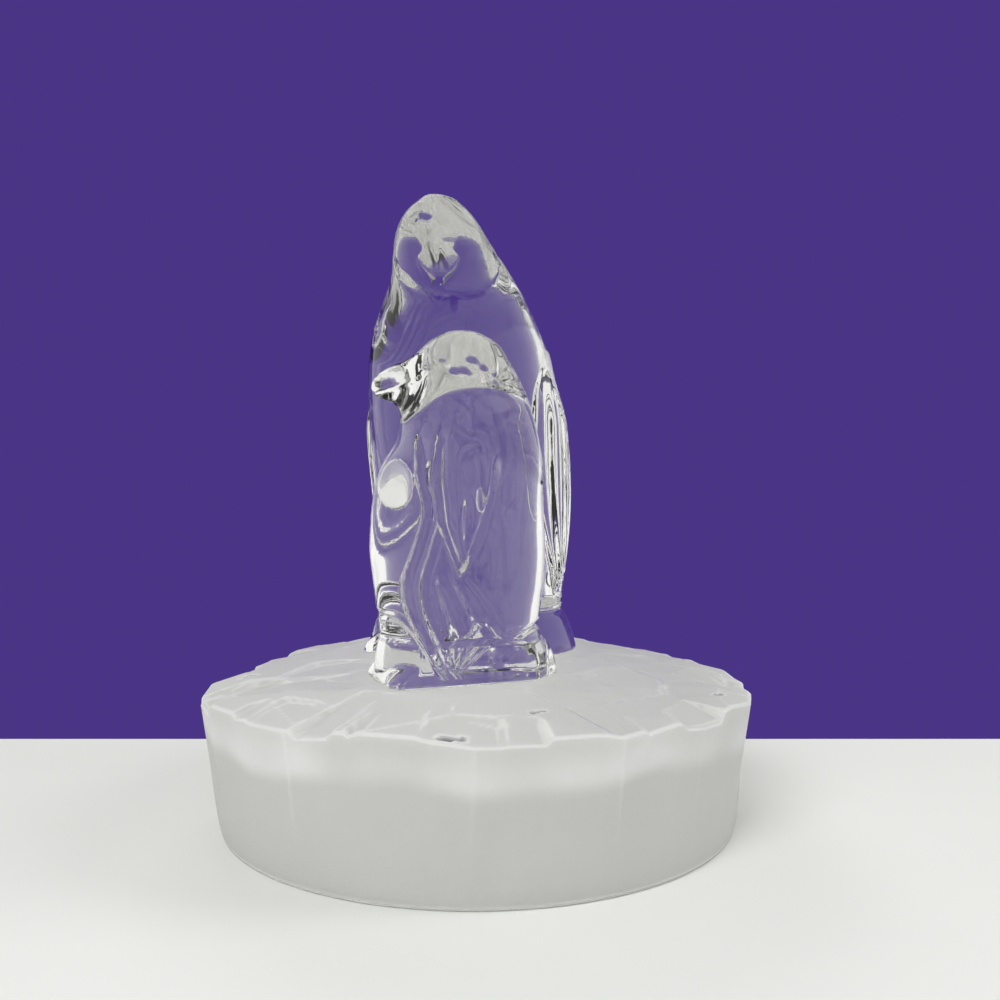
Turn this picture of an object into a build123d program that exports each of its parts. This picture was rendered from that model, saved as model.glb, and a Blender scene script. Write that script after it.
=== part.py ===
from build123d import *
import os
from collections import namedtuple
from math import atan2, degrees, radians, sin, tan

# A glass ornament: an adult penguin and its chick, each cast in clear glass and bonded
# by its feet to a frosted floe of ice, which is pressed glass and hollow underneath.
# Millimetres. The origin is the middle of the ring that the floe stands on, +Z is up,
# and -Y is the side that the ornament is looked at from.

# Frosted floe
FOOT_DIAMETER = 95.0      # across the ground ring that the floe stands on
RIM_DIAMETER = 102.0      # across the flats of the wall, at the rim
RIM_HEIGHT = 26.0
LAND_HEIGHT = 28.6        # the flat that the birds stand on
WALL = 5.5                # glass between the outside and the hollow, at the foot
ROOF = 10.6               # glass between the flat and the hollow
HOLLOW_DRAFT = 4.0        # how much narrower, in radius, the hollow is at its ceiling
FOOT_ROUND = 1.2
CEILING_ROUND = 6.0

# Ice facets on the floe's wall, crown and broken edge
WALL_SPARE = 1.4          # radius of glass outside the flats, which the wall facets take off
WALL_FACETS = 29
WALL_FACET_WAVE = 0.5     # how far a flat lies in or out of the nominal one
WALL_FACET_TWIST = 3.0    # degrees that a flat is turned, so that it shingles over the next
CROWN_FACETS = 11
CROWN_WAVE = 0.5          # how far a flat of the crown lies above or below the rim's height
LAND_MARGIN = 1.6         # flat ice left around the feet
SHARD_SLOPE = 16.0        # degrees that the broken edge falls outwards
SHARD_SLOPE_WAVE = 5.0
SHARD_DROP = 1.0          # how far the broken edge lies below the rim's height
SHARD_DROP_WAVE = 0.8
SHARD_ROLL = 5.0          # degrees that a shard is tipped sideways
EDGE_SHIFT = 0.22         # how far the edge between two flats is off its even place, in flats
BEARING_SHIFT = 0.3       # the same for the flats of the crown
Ledge = namedtuple("Ledge", "shard reach drop")
LEDGES = [
    Ledge(shard=1, reach=6.5, drop=3.0),
    Ledge(shard=2, reach=5.0, drop=3.4),
    Ledge(shard=13, reach=7.0, drop=2.6),
    Ledge(shard=14, reach=8.0, drop=3.0),
    Ledge(shard=28, reach=4.5, drop=2.8),
]

# Bonds
BOND_FILM = 0.2           # clear adhesive under each bird
BIRD_GAP = 0.4            # air between the two birds where they come closest

# Birds. A station is a level oval of the body; lean is how far it is ahead of the feet.
Station = namedtuple("Station", "rise width depth lean")
Head = namedtuple("Head", "rise lean width length height bow turn")
Slant = namedtuple("Slant", "reach rise facing_up")      # a flat that the head is pared to
Beak = namedtuple("Beak", "reach length width height lift droop")
Wedge = namedtuple("Wedge", "facing_up outline")         # a beak that goes on from the forehead
WedgePoint = namedtuple("WedgePoint", "rise half_width")
Flipper = namedtuple("Flipper", "shoulder tip chord thickness sunk lean")
Foot = namedtuple("Foot", "length width height spread lean toe_out")
Tail = namedtuple("Tail", "reach length width height")

ADULT_X = -3.2
ADULT_Y = 15.5
ADULT_HEADING = 28.0      # degrees that the body is turned towards -X from facing -Y
ADULT_BODY = [
    Station(rise=0.0, width=45.0, depth=38.0, lean=-2.6),
    Station(rise=4.0, width=42.5, depth=36.0, lean=-2.6),
    Station(rise=8.5, width=39.0, depth=33.4, lean=-2.8),
    Station(rise=17.0, width=39.8, depth=34.5, lean=-3.0),
    Station(rise=26.0, width=40.4, depth=36.0, lean=-2.8),
    Station(rise=34.0, width=40.6, depth=37.0, lean=-2.0),
    Station(rise=43.0, width=40.5, depth=37.0, lean=-0.4),
    Station(rise=51.0, width=40.0, depth=36.4, lean=1.0),
    Station(rise=57.5, width=38.4, depth=35.4, lean=2.1),
    Station(rise=64.0, width=35.4, depth=33.2, lean=3.0),
    Station(rise=70.0, width=30.5, depth=29.2, lean=3.6),
    Station(rise=76.0, width=24.0, depth=23.7, lean=4.85),
    Station(rise=80.5, width=18.5, depth=18.9, lean=6.05),
    Station(rise=84.5, width=13.0, depth=13.5, lean=7.25),
    Station(rise=88.5, width=6.0, depth=6.4, lean=7.8),
]
ADULT_HEAD = Head(rise=81.2, lean=11.5, width=16.6, length=20.5, height=17.6, bow=50.0, turn=34.0)
ADULT_NAPE = Slant(reach=3.6, rise=80.0, facing_up=47.0)
ADULT_FOREHEAD = Slant(reach=8.9, rise=80.4, facing_up=36.0)
ADULT_BEAK = Wedge(
    facing_up=40.0,
    outline=[WedgePoint(80.4, 4.2), WedgePoint(77.1, 3.0), WedgePoint(75.4, 3.9), WedgePoint(70.4, 0.8)],
)
ADULT_FLIPPER = Flipper(shoulder=56.0, tip=12.0, chord=14.0, thickness=5.0, sunk=0.9, lean=-0.6)
ADULT_FOOT = Foot(length=16.0, width=13.0, height=4.2, spread=15.0, lean=9.5, toe_out=8.0)
ADULT_TAIL = Tail(reach=2.6, length=12.0, width=15.0, height=9.0)

CHICK_X = -3.0
CHICK_HEADING = 68.0
CHICK_BODY = [
    Station(rise=0.0, width=25.0, depth=30.4, lean=-0.4),
    Station(rise=4.5, width=24.4, depth=29.8, lean=-0.4),
    Station(rise=7.5, width=23.4, depth=28.1, lean=-0.1),
    Station(rise=11.0, width=24.4, depth=28.4, lean=0.0),
    Station(rise=16.0, width=25.4, depth=29.7, lean=0.0),
    Station(rise=22.0, width=26.2, depth=30.6, lean=0.2),
    Station(rise=27.0, width=26.0, depth=30.2, lean=0.2),
    Station(rise=32.0, width=26.2, depth=29.3, lean=0.0),
    Station(rise=36.5, width=26.2, depth=27.5, lean=-0.7),
    Station(rise=40.5, width=26.2, depth=24.0, lean=-1.5),
    Station(rise=44.0, width=25.2, depth=22.2, lean=-1.5),
    Station(rise=47.5, width=21.8, depth=21.2, lean=-1.3),
    Station(rise=51.0, width=16.8, depth=19.2, lean=-1.0),
    Station(rise=54.5, width=11.8, depth=16.0, lean=-0.8),
    Station(rise=57.5, width=7.0, depth=11.6, lean=-0.9),
    Station(rise=59.4, width=2.4, depth=5.0, lean=-0.9),
]
CHICK_HEAD = Head(rise=48.5, lean=2.0, width=12.0, length=17.0, height=15.0, bow=8.0, turn=0.0)
CHICK_BEAK = Beak(reach=5.0, length=14.0, width=7.0, height=8.4, lift=1.6, droop=12.0)
CHICK_FLIPPER = Flipper(shoulder=43.0, tip=15.0, chord=10.5, thickness=4.4, sunk=1.4, lean=3.5)
CHICK_FOOT = Foot(length=13.0, width=10.5, height=4.6, spread=10.5, lean=8.0, toe_out=6.0)
CHICK_TAIL = Tail(reach=2.2, length=10.0, width=11.0, height=7.0)

FORWARD = -90.0           # the bearings that a bird faces and turns its back to, from +X
BACKWARD = 90.0
BEDDED = (Align.CENTER, Align.CENTER, Align.MIN)


def egg(width, length, height):
    return scale(Sphere(0.5), by=(width, length, height))


def mound(width, length, height):
    """The upper half of an egg, flat underneath."""
    return egg(width, length, 2 * height) & Box(width, length, height, align=BEDDED)


def width_at(stations, rise):
    """A body's width at any height, straight between its stations."""
    for low, high in zip(stations, stations[1:]):
        if rise <= high.rise:
            break
    return low.width + (high.width - low.width) * (rise - low.rise) / (high.rise - low.rise)


def make_body(stations):
    return loft([Pos(0, -s.lean, s.rise) * Ellipse(s.width / 2, s.depth / 2) for s in stations])


def face_place(head):
    """The ground below the middle of a head, turned to where the head faces."""
    return Pos(0, -head.lean, 0) * Rot(0, 0, head.turn)


def head_place(head):
    """The middle of a head, bowed, and turned from where the body faces."""
    return face_place(head) * Pos(0, 0, head.rise) * Rot(head.bow, 0, 0)


def make_trunk(stations, head):
    """A body and its head. The bird stands at the origin and faces -Y."""
    return make_body(stations) + head_place(head) * egg(head.width, head.length, head.height)


def beyond_slant(slant, bearing):
    """All that lies outside a slant of the head."""
    return outside_flat(bearing, slant.reach, slant.rise, 90 - slant.facing_up)


def make_wedge(wedge, head, forehead):
    """A beak over the middle of the face, which slants forward from the forehead to its tip."""
    right = [(point.half_width, point.rise) for point in wedge.outline]
    left = [(-across, rise) for across, rise in reversed(right)]
    outline = make_face(Plane.XZ * Polyline(*right, *left, close=True))
    blank = extrude(outline, amount=head.length, dir=(0, -1, 0))
    return face_place(head) * (blank - beyond_slant(forehead._replace(facing_up=wedge.facing_up), FORWARD))


def make_beak(beak, head):
    """A blunt spindle, which droops from the line of the face. Its tip stands out by its reach."""
    spindle = Pos(0, beak.length / 2, 0) * egg(beak.width, beak.length, beak.height)
    tip = Pos(0, -head.length / 2 - beak.reach, beak.lift)
    return head_place(head) * tip * Rot(beak.droop, 0, 0) * spindle


def make_flipper(flipper, stations, side):
    """A leaf laid on the flank, which follows the body's slope from shoulder to tip."""
    top = width_at(stations, flipper.shoulder) / 2
    bottom = width_at(stations, flipper.tip) / 2
    length = flipper.shoulder - flipper.tip
    middle = width_at(stations, flipper.tip + length / 2) / 2 - flipper.sunk
    splay = degrees(atan2(bottom - top, length))
    leaf = egg(flipper.thickness, flipper.chord, length)
    return Pos(side * middle, -flipper.lean, flipper.tip + length / 2) * Rot(0, -side * splay, 0) * leaf


def make_foot(foot, side):
    """A webbed foot, longer than it is wide."""
    web = mound(foot.width, foot.length, foot.height)
    return Pos(side * foot.spread / 2, -foot.lean, 0) * Rot(0, 0, side * foot.toe_out) * web


def make_tail(tail, stations):
    """A short tail that runs down the back to the ice."""
    back = stations[0].depth / 2 - stations[0].lean
    return Pos(0, back + tail.reach - tail.length / 2, 0) * mound(tail.width, tail.length, tail.height)


def add_limbs(bird, stations, flipper, foot, tail):
    """A bird with its tail, flippers and feet, all one casting."""
    bird += make_tail(tail, stations)
    for side in (-1, 1):
        bird += make_flipper(flipper, stations, side)
        bird += make_foot(foot, side)
    return bird


def make_adult():
    """The adult, whose head is pared to two slants and has its beak as a wedge over the face."""
    bird = make_trunk(ADULT_BODY, ADULT_HEAD) - beyond_slant(ADULT_NAPE, BACKWARD)
    bird -= face_place(ADULT_HEAD) * beyond_slant(ADULT_FOREHEAD, FORWARD)
    bird += make_wedge(ADULT_BEAK, ADULT_HEAD, ADULT_FOREHEAD)
    return add_limbs(bird, ADULT_BODY, ADULT_FLIPPER, ADULT_FOOT, ADULT_TAIL)


def make_chick():
    """The chick, whose beak is a spindle."""
    bird = make_trunk(CHICK_BODY, CHICK_HEAD) + make_beak(CHICK_BEAK, CHICK_HEAD)
    return add_limbs(bird, CHICK_BODY, CHICK_FLIPPER, CHICK_FOOT, CHICK_TAIL)


def make_bond(bird):
    """The adhesive film, as wide as what the bird stands on."""
    floor = bird.bounding_box().min.Z
    soles = bird.faces().filter_by(lambda face: face.bounding_box().max.Z < floor + BOND_FILM / 2)
    return Part() + [extrude(sole, amount=BOND_FILM, dir=(0, 0, -1)) for sole in soles]


def uneven(i, series):
    """A value from -1 to 1 that differs from flat to flat, as ice breaks. Each series has its own."""
    return sin((2.4 + 0.37 * series) * i + series)


def reach_towards(shapes, bearing):
    """How far shapes reach from the axis, in a direction given in degrees from +X."""
    return max(shape.rotate(Axis.Z, -bearing).bounding_box().max.X for shape in shapes)


def least_slope(bonds, bearing, height):
    """The slope of a flat that clears the birds' feet and comes down to that height at the rim."""
    run = RIM_DIAMETER / 2 - LAND_MARGIN - reach_towards(bonds, bearing)
    return degrees(atan2(LAND_HEIGHT - height, run))


def outside_flat(bearing, distance, height, slope, turn=0.0):
    """All that lies outside a flat. The flat meets the bearing at that distance and height,
    falls away outwards by its slope, and is turned a little about the vertical."""
    waste = Box(3 * RIM_DIAMETER, 3 * RIM_DIAMETER, RIM_DIAMETER, align=BEDDED)
    return Rot(0, 0, bearing) * Pos(distance, 0, height) * Rot(0, 0, turn) * Rot(0, slope, 0) * waste


def above_shard(start, end, inner, height, slope, roll=0.0):
    """All that lies above one shard of the broken edge: the sector between two bearings, from
    an inner radius outwards. The shard meets the rim at that height."""
    outer = RIM_DIAMETER
    half = radians(end - start) / 2
    corners = []
    for radius, side in ((inner, -1), (outer, -1), (outer, 1), (inner, 1)):
        across = side * radius * tan(half)
        fall = (RIM_DIAMETER / 2 - radius) * tan(radians(slope)) + across * tan(radians(roll))
        corners.append((radius, across, height + fall))
    floor = make_face(Polyline(*corners, close=True))
    return Rot(0, 0, (start + end) / 2) * extrude(floor, amount=RIM_DIAMETER, dir=(0, 0, 1))


def make_ice(bonds):
    """The outside of the ice: flats round the wall, a crown that rises to the birds' feet,
    and an edge broken into shards."""
    rim = RIM_DIAMETER / 2
    pitch = 360 / WALL_FACETS
    edges = [pitch * (i + EDGE_SHIFT * uneven(i, 0)) for i in range(WALL_FACETS)]
    edges.append(edges[0] + 360)
    ice = Box(2 * RIM_DIAMETER, 2 * RIM_DIAMETER, LAND_HEIGHT, align=BEDDED)
    for i in range(CROWN_FACETS):
        bearing = 360 / CROWN_FACETS * (i + BEARING_SHIFT * uneven(i, 1))
        height = RIM_HEIGHT + CROWN_WAVE * uneven(i, 2)
        ice -= outside_flat(bearing, rim, height, least_slope(bonds, bearing, height))
    for i in range(WALL_FACETS):
        middle = (edges[i] + edges[i + 1]) / 2
        distance = rim + WALL_FACET_WAVE * uneven(i, 3)
        ice -= outside_flat(middle, distance, 0, 90, WALL_FACET_TWIST * uneven(i, 4))
        height = RIM_HEIGHT - SHARD_DROP + SHARD_DROP_WAVE * uneven(i, 5)
        slope = SHARD_SLOPE + SHARD_SLOPE_WAVE * uneven(i, 6)
        slope = max(slope, least_slope(bonds, middle, height))
        ice -= above_shard(edges[i], edges[i + 1], 0, height, slope, SHARD_ROLL * uneven(i, 7))
    for ledge in LEDGES:
        height = RIM_HEIGHT - ledge.drop
        ice -= above_shard(edges[ledge.shard], edges[ledge.shard + 1], rim - ledge.reach, height, 0)
    return ice


def make_blank():
    """The floe as it leaves the press: a drafted drum with a rounded hollow under it."""
    foot = FOOT_DIAMETER / 2
    rim = RIM_DIAMETER / 2 + WALL_SPARE
    top = foot + (rim - foot) * LAND_HEIGHT / RIM_HEIGHT
    mouth = foot - WALL
    ceiling = LAND_HEIGHT - ROOF
    profile = Polyline(
        (foot, 0), (top, LAND_HEIGHT), (0, LAND_HEIGHT), (0, ceiling),
        (mouth - HOLLOW_DRAFT, ceiling), (mouth, 0), close=True,
    )
    half = make_face(Plane.XZ * profile)
    half = fillet(half.vertices().filter_by(lambda v: v.Z < ceiling / 2), FOOT_ROUND)
    corner = half.vertices().filter_by(lambda v: v.X > 1 and abs(v.Z - ceiling) < FOOT_ROUND / 2)
    half = fillet(corner, CEILING_ROUND)
    return revolve(half, Axis.Z)


# The adult stands at the back, and the chick as close in front of it as their gap allows
adult = Pos(ADULT_X, ADULT_Y, LAND_HEIGHT + BOND_FILM) * Rot(0, 0, -ADULT_HEADING) * make_adult()
chick = Pos(CHICK_X, 0, LAND_HEIGHT + BOND_FILM) * Rot(0, 0, -CHICK_HEADING) * make_chick()
over_chick = Box(RIM_DIAMETER, 2 * RIM_DIAMETER, RIM_DIAMETER, align=BEDDED)
adult_front = (adult - Pos(0, 0, chick.bounding_box().max.Z) * over_chick).bounding_box().min.Y
chick = Pos(0, adult_front - BIRD_GAP - chick.bounding_box().max.Y, 0) * chick
adult_bond = make_bond(adult)
chick_bond = make_bond(chick)

nodes = {
    "ice_floe": make_blank() & make_ice([adult_bond, chick_bond]),
    "adult_bond": adult_bond,
    "adult_penguin": adult,
    "chick_bond": chick_bond,
    "chick_penguin": chick,
}
os.makedirs("parts", exist_ok=True)
for name, shape in nodes.items():
    export_step(shape, f"parts/{name}.step")
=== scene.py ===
from collections import namedtuple
from math import cos, pi, radians, sin

import bpy
import numpy as np
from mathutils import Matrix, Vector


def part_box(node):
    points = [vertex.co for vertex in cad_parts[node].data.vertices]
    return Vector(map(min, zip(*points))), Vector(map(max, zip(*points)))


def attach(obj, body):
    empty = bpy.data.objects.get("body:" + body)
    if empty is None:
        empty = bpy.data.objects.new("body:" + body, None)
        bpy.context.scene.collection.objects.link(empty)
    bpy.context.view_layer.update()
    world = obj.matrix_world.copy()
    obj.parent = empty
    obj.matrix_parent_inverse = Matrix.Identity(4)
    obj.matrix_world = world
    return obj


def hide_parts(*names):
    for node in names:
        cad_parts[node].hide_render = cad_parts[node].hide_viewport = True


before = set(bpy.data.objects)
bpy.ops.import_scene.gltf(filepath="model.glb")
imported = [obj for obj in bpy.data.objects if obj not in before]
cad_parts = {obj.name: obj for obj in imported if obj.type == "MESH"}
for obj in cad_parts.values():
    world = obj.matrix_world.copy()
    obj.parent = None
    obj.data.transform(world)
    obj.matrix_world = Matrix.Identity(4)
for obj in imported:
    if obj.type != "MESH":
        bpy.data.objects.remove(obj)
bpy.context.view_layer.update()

import openvdb

MM = 0.001


# Ice floe
# A drum of pressed glass, hollow underneath, with its crown and wall broken into flats like ice.
# The outside is frosted in acid and the ring that it stands on is ground flat and nearly clear.
FOOT_RADIUS = 47.5
FOOT_ROUND = 0.7
RIM_RADIUS = 51.0
RIM_HEIGHT = 26.0
RIM_ROUND = 0.7
LAND_HEIGHT = 28.6        # the level land that the birds stand on


def uneven(i, series):
    """A value from -1 to 1 that differs from flat to flat, as ice breaks. Each series has its own."""
    return np.sin((2.4 + 0.37 * series) * i + series)


def fade(value, start, end):
    """0 at the start, 1 at the end and smooth between them."""
    share = np.clip((value - start) / (end - start), 0, 1)
    return share * share * (3 - 2 * share)


# Flats of the wall, which fade out towards the foot
WALL_FACETS = 29
WALL_SPARE = 1.4          # how far the drum would stand out past the rim without its flats
EDGE_SHIFT = 0.22         # how far an edge between two flats wanders, as a share of a flat's width
FLAT_SHIFT = 0.5
FLAT_TWIST = 4.5
FLAT_DRAFT = 0.15         # how much a flat leans in per millimetre of height
FLAT_END = 1.5
FLAT_FULL = 14.0
LEAST_FACING = 0.5        # a flat cuts only the side of the wall that it faces

flat = np.arange(WALL_FACETS)
edges = np.radians(360 / WALL_FACETS * (flat + EDGE_SHIFT * uneven(flat, 0)))
edges = np.append(edges, edges[0] + 2 * pi)
middles = (edges[:-1] + edges[1:]) / 2
flat_distance = RIM_RADIUS + FLAT_SHIFT * uneven(flat, 3)
flat_twist = np.radians(FLAT_TWIST * uneven(flat, 4))


def wall_radius(bearing, z):
    """How far the wall is from the axis: a drafted drum with its flats taken off."""
    drum = FOOT_RADIUS + (RIM_RADIUS + WALL_SPARE - FOOT_RADIUS) * z / RIM_HEIGHT
    cut = drum + 0 * bearing
    for middle, distance, twist in zip(middles, flat_distance, flat_twist):
        facing = np.cos(bearing - middle - twist)
        flat_here = (distance - FLAT_DRAFT * (RIM_HEIGHT - z)) * cos(twist)
        flat_here = flat_here / np.maximum(facing, LEAST_FACING)
        cut = np.where(facing > LEAST_FACING, np.minimum(cut, flat_here), cut)
    return drum + (cut - drum) * fade(z, FLAT_END, FLAT_FULL)


# Wide flats of the crown, which fall from the land, and the shards of its broken edge
CROWN_FACETS = 11
CROWN_SHIFT = 0.5
CROWN_TURN = 0.3          # how far the way that a flat falls wanders, as a share of its width
SHARD_DROP = 1.0
SHARD_SHIFT = 0.8
SHARD_FALL = 16.0
SHARD_FALL_SHIFT = 5.0
SHARD_ROLL = 5.0
SHARD_RISER = 0.9         # how wide the step between two shards is
FEET_MARGIN = 1.6         # how far the land reaches past the birds' feet
# Ledges broken out of the edge: the shard that each is on, how far in it reaches and how low it lies
LEDGES = {1: (6.5, 3.0), 2: (5.0, 3.4), 13: (7.0, 2.6), 14: (8.0, 3.0), 28: (4.5, 2.8)}
LEDGE_RISER = 0.8

bond_points = np.array([
    corner.co[:2] for name in ("adult_bond", "chick_bond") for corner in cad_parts[name].data.vertices
]) / MM


def least_fall(bearing, height):
    """How steeply a flat must fall to clear the birds' feet and come down to a height at the rim."""
    reach = (bond_points @ np.array([np.cos(bearing), np.sin(bearing)])).max(axis=0)
    return (LAND_HEIGHT - height) / (RIM_RADIUS - FEET_MARGIN - reach)


shard_height = RIM_HEIGHT - SHARD_DROP + SHARD_SHIFT * uneven(flat, 5)
shard_fall = np.tan(np.radians(SHARD_FALL + SHARD_FALL_SHIFT * uneven(flat, 6)))
shard_fall = np.maximum(shard_fall, least_fall(middles, shard_height))
shard_roll = np.tan(np.radians(SHARD_ROLL * uneven(flat, 7)))
crown = np.arange(CROWN_FACETS)
crown_bearing = np.radians(360 / CROWN_FACETS * (crown + CROWN_TURN * uneven(crown, 1)))
crown_height = RIM_HEIGHT + CROWN_SHIFT * uneven(crown, 2)
crown_fall = least_fall(crown_bearing, crown_height)


def shard_top(i, x, y):
    """The height of one shard of the broken edge, with its ledge if it has one."""
    out = x * np.cos(middles[i]) + y * np.sin(middles[i])
    across = y * np.cos(middles[i]) - x * np.sin(middles[i])
    height = shard_height[i] + (RIM_RADIUS - out) * shard_fall[i] + across * shard_roll[i]
    for shard, (reach, drop) in LEDGES.items():
        back = RIM_RADIUS - reach
        step = fade(out, back - LEDGE_RISER / 2, back + LEDGE_RISER / 2)
        low = np.minimum(height, RIM_HEIGHT - drop)
        height = np.where(i == shard, height + (low - height) * step, height)
    return height


# Low plates that the crown is broken into
SCATTER_SEED = 11
SCALES = 64
SCALE_REACH = 52.0
SCALE_FREE = 0.05         # the share of the crown, at its middle, that has no plate's middle in it
SCALE_DEPTH = 0.6
SCALE_TILT = 0.055
SCALE_RIDGE = 1.3
SCALE_START = 0.8         # how far from the feet the plates start, and where they are as deep as elsewhere
SCALE_FULL = 5.0

scatter = np.random.default_rng(SCATTER_SEED)
scale_radius = SCALE_REACH * np.sqrt(scatter.uniform(SCALE_FREE, 1, SCALES))
scale_bearing = scatter.uniform(0, 2 * pi, SCALES)
scale_x = scale_radius * np.cos(scale_bearing)
scale_y = scale_radius * np.sin(scale_bearing)
scale_sink = scatter.uniform(0, SCALE_DEPTH, SCALES)
scale_tilt = scatter.uniform(-SCALE_TILT, SCALE_TILT, (SCALES, 2))


def scale_depth(x, y):
    """How far the crown's plates lie below the pressed shape. Each is level or tilted a little."""
    away = np.hypot(x[..., None] - scale_x, y[..., None] - scale_y)
    order = np.argsort(away, axis=-1)[..., :2]
    depths = []
    for k in (0, 1):
        cell = order[..., k]
        slope = scale_tilt[cell, 0] * (x - scale_x[cell]) + scale_tilt[cell, 1] * (y - scale_y[cell])
        depths.append(scale_sink[cell] + slope)
    near, next_near = np.moveaxis(np.take_along_axis(away, order, axis=-1), -1, 0)
    share = 0.5 + 0.5 * np.clip((next_near - near) / SCALE_RIDGE, 0, 1)
    return np.maximum(depths[0] * share + depths[1] * (1 - share), 0)


# Nicks in the crown: across, back, the way that each runs, and its length
CHIPS = (
    (-2.8, -49.6, 8, 5.0),
    (9.7, -40.0, 30, 3.6),
    (-42.0, -9.0, -20, 4.5),
    (-44.5, 14.0, 10, 4.0),
    (-34.0, 17.0, 5, 4.0),
    (41.0, -22.0, 50, 3.0),
)
CHIP_SLIM = 0.36
CHIP_WAVE = 0.3           # how much a nick's width comes and goes along it
CHIP_WAVES = 2.2
CHIP_SOFT = 0.4
CHIP_DEPTH = 0.4


def turned(a, b, angle):
    """Two coordinates in a frame that is turned by an angle in degrees."""
    c = cos(radians(angle))
    s = sin(radians(angle))
    return c * a + s * b, c * b - s * a


def chip_share(x, y):
    """How far a point lies inside a nick in the crown, from 0 at its edge to 1 along its middle."""
    deepest = np.zeros(np.shape(x))
    for chip_x, chip_y, bearing, length in CHIPS:
        along, across = turned(x - chip_x, y - chip_y, bearing)
        wave = 1 - CHIP_WAVE + CHIP_WAVE * np.sin(CHIP_WAVES * along + chip_x)
        width = CHIP_SLIM * length * wave
        inside = 1 - np.hypot(2 * along / length, 2 * across / width)
        deepest = np.maximum(deepest, fade(inside, 0.0, CHIP_SOFT))
    return deepest


def top_height(x, y):
    """The crown: level under the birds, falling in flats to a rim of broken shards."""
    radius = np.hypot(x, y)
    bearing = np.mod(np.arctan2(y, x) - edges[0], 2 * pi) + edges[0]
    shard = np.clip(np.searchsorted(edges, bearing, side="right") - 1, 0, WALL_FACETS - 1)
    to_next = (edges[shard + 1] - bearing) * radius
    to_last = (bearing - edges[shard]) * radius
    next_share = np.clip(0.5 - to_next / SHARD_RISER, 0, 0.5)
    last_share = np.clip(0.5 - to_last / SHARD_RISER, 0, 0.5)
    height = (1 - next_share - last_share) * shard_top(shard, x, y)
    height += next_share * shard_top((shard + 1) % WALL_FACETS, x, y)
    height += last_share * shard_top((shard - 1) % WALL_FACETS, x, y)
    for bearing, rim, fall in zip(crown_bearing, crown_height, crown_fall):
        height = np.minimum(height, rim + (RIM_RADIUS - x * cos(bearing) - y * sin(bearing)) * fall)
    height = np.minimum(height, LAND_HEIGHT)
    from_feet = np.full(x.shape, np.inf)
    for foot_x, foot_y in bond_points[::6]:
        from_feet = np.minimum(from_feet, np.hypot(x - foot_x, y - foot_y))
    height -= scale_depth(x, y) * fade(from_feet, SCALE_START, SCALE_FULL)
    return height - CHIP_DEPTH * chip_share(x, y)


# The floe's mesh, in rings from the middle of its ceiling, out over the foot and up to the crown
HOLLOW_MOUTH = 42.0
HOLLOW_TOP = 38.0
HOLLOW_CEILING = 18.0
HOLLOW_WALL_TOP = 10.5
CEILING_ROUND = 6.0
CEILING_SET = 0.6         # how far out the ceiling's round is moved to meet the drafted wall
SHARP_ANGLE = 24
COLUMNS = 660

turn = np.linspace(0, 2 * pi, COLUMNS, endpoint=False)
rings = []


def arc(radius, start, end, steps):
    """Points of a corner's round: across and up from its middle, between two angles."""
    angle = np.radians(np.linspace(start, end, steps))
    return zip(radius * np.cos(angle), radius * np.sin(angle))


def loop_of(radius, bearing, z):
    """A loop of points round the axis."""
    return np.stack([radius * np.cos(bearing), radius * np.sin(bearing), z + 0 * bearing], axis=-1)


def ring_faces(count, columns):
    """The faces between each ring of points and the next."""
    here = np.arange(columns)
    beside = (here + 1) % columns
    faces = []
    for ring in range(count - 1):
        low = ring * columns
        high = low + columns
        faces += np.stack([low + here, low + beside, high + beside, high + here], axis=-1).tolist()
    return faces


for radius in np.linspace(2, HOLLOW_TOP - CEILING_ROUND, 8):
    rings.append(loop_of(radius, turn, HOLLOW_CEILING))
for across, up in arc(CEILING_ROUND, 84, 8, 9):
    radius = HOLLOW_TOP - CEILING_ROUND + CEILING_SET + across
    rings.append(loop_of(radius, turn, HOLLOW_CEILING - CEILING_ROUND + up))
for z in np.linspace(HOLLOW_WALL_TOP, FOOT_ROUND, 6):
    radius = HOLLOW_TOP + (HOLLOW_MOUTH - HOLLOW_TOP) * (1 - z / HOLLOW_CEILING)
    rings.append(loop_of(radius, turn, z))
for across, up in arc(FOOT_ROUND, 195, 270, 5):
    rings.append(loop_of(HOLLOW_MOUTH + FOOT_ROUND + across, turn, FOOT_ROUND + up))
for out in (2.0, 3.0):
    rings.append(loop_of(HOLLOW_MOUTH + out, turn, 0))
for across, up in arc(FOOT_ROUND, -90, -10, 6):
    rings.append(loop_of(FOOT_RADIUS - FOOT_ROUND + across, turn, FOOT_ROUND + up))
rim = wall_radius(turn, RIM_HEIGHT)
rim_height = top_height((rim - RIM_ROUND) * np.cos(turn), (rim - RIM_ROUND) * np.sin(turn))
for share in np.linspace(0.06, 1, 32):
    z = FOOT_ROUND + (rim_height - RIM_ROUND - FOOT_ROUND) * share
    rings.append(loop_of(wall_radius(turn, z), turn, z))
crown_start = len(rings)
rim = wall_radius(turn, rim_height)
for across, up in arc(RIM_ROUND, 20, 70, 3):
    rings.append(loop_of(rim - RIM_ROUND + across, turn, rim_height - RIM_ROUND + up))
# Rings lie closer together near the broken edge than further in
for share in np.concatenate([np.linspace(1, 0.72, 28), np.linspace(0.71, 0.1, 46)]):
    radius = (rim - RIM_ROUND) * share
    rings.append(loop_of(radius, turn, top_height(radius * np.cos(turn), radius * np.sin(turn))))

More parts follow.
